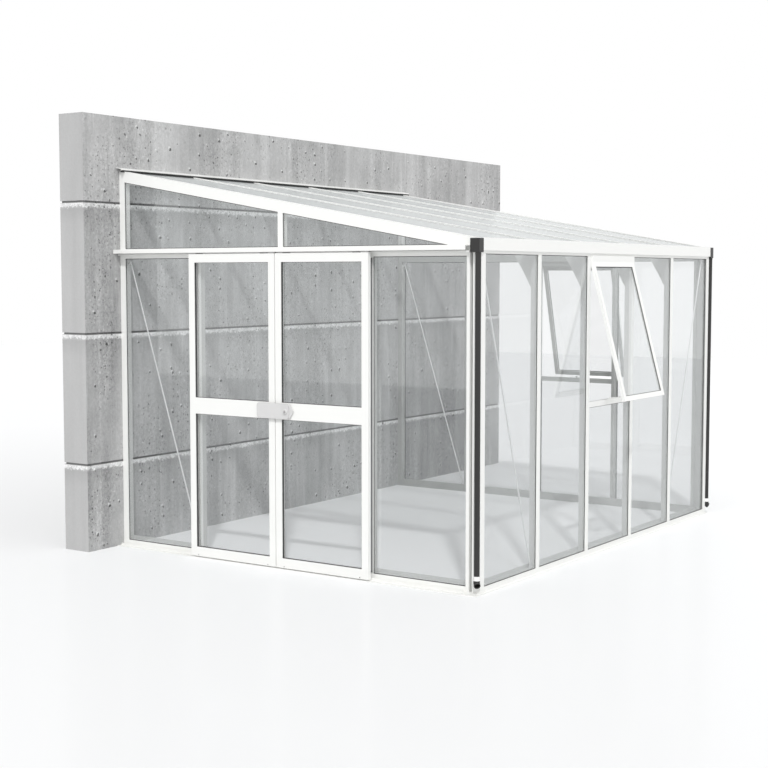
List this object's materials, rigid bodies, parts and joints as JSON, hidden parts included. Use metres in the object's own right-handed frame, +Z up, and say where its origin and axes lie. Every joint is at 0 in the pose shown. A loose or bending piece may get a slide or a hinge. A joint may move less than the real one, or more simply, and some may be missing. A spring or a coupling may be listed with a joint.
{
  "type": "lean-to greenhouse",
  "caption": "White aluminium lean-to greenhouse on a concrete wall, with a shallow glazed roof, sliding double doors on a hooded track, gutter, downpipes and open windows.",
  "frame": {"origin": "middle of the concrete wall's foot, on the ground", "axes": "+X along the wall away from the door gable, +Y from the front of the wall to its back, so the house stands on the -Y side, +Z up"},
  "size_m": [5.78, 3.4251, 3.03],
  "materials": {
    "concrete": "cast, matt",
    "white_frame": "white powder coat",
    "clear_glass": "clear",
    "roof_sheet": "translucent",
    "black_plastic": "satin",
    "black_rubber": "matt",
    "white_plastic": "satin",
    "grey_plastic": "satin"
  },
  "bodies": {
    "greenhouse": {"base_corners": "white_frame", "concrete_wall": "concrete", "corner_posts": "white_frame", "corner_returns": "white_frame", "door_gable_glass": "clear_glass", "door_gable_sill": "white_frame", "door_jambs": "white_frame", "downpipes": "black_plastic", "eaves_beam": "white_frame", "far_gable_glass": "clear_glass", "far_gable_posts": "white_frame", "far_gable_sill": "white_frame", "flashing_seal": "black_rubber", "front_glass": "clear_glass", "front_posts": "white_frame", "front_sill": "white_frame", "front_window_frame": "white_frame", "front_window_glass": "clear_glass", "front_window_sash": "white_frame", "front_window_stay": "white_frame", "gable_rafters": "white_frame", "gable_rails": "white_frame", "gable_upper_bars": "white_frame", "gutter_back": "white_frame", "gutter_fascia": "white_frame", "gutter_floor": "white_frame", "gutter_outlets": "black_plastic", "knee_brackets": "white_frame", "pipe_clips": "white_plastic", "pipe_shoes": "black_plastic", "ridge_beam": "white_frame", "ridge_flashing": "white_frame", "roof_bars": "white_frame", "roof_caps": "white_frame", "roof_glass": "roof_sheet", "side_window_frame": "white_frame", "side_window_glass": "clear_glass", "side_window_sash": "white_frame", "side_window_stay": "white_frame", "track_back": "white_frame", "track_fascia": "white_frame", "track_rail": "white_frame", "track_top": "white_frame", "wall_posts": "white_frame", "wind_braces": "white_frame"},
    "left_door": {"left_door_frame": "white_frame", "left_door_glass": "clear_glass", "left_door_rollers": "black_plastic"},
    "right_door": {"right_door_frame": "white_frame", "right_door_glass": "clear_glass", "right_door_rollers": "black_plastic"},
    "latch": {"latch_plate": "grey_plastic", "latch_knob": "grey_plastic"}
  },
  "joints": [
    {"name": "left_door_slide", "type": "slide", "parent": "greenhouse", "child": "left_door", "axis": [0, 1, 0], "range_m": [0, 0.65]},
    {"name": "right_door_slide", "type": "slide", "parent": "greenhouse", "child": "right_door", "axis": [0, -1, 0], "range_m": [0, 0.65]},
    {"name": "latch_turn", "type": "hinge", "parent": "right_door", "child": "latch", "pos_m": [-2.607, -1.6395, 1.0425], "axis": [1, 0, 0], "range_deg": [0, 90]}
  ]
}
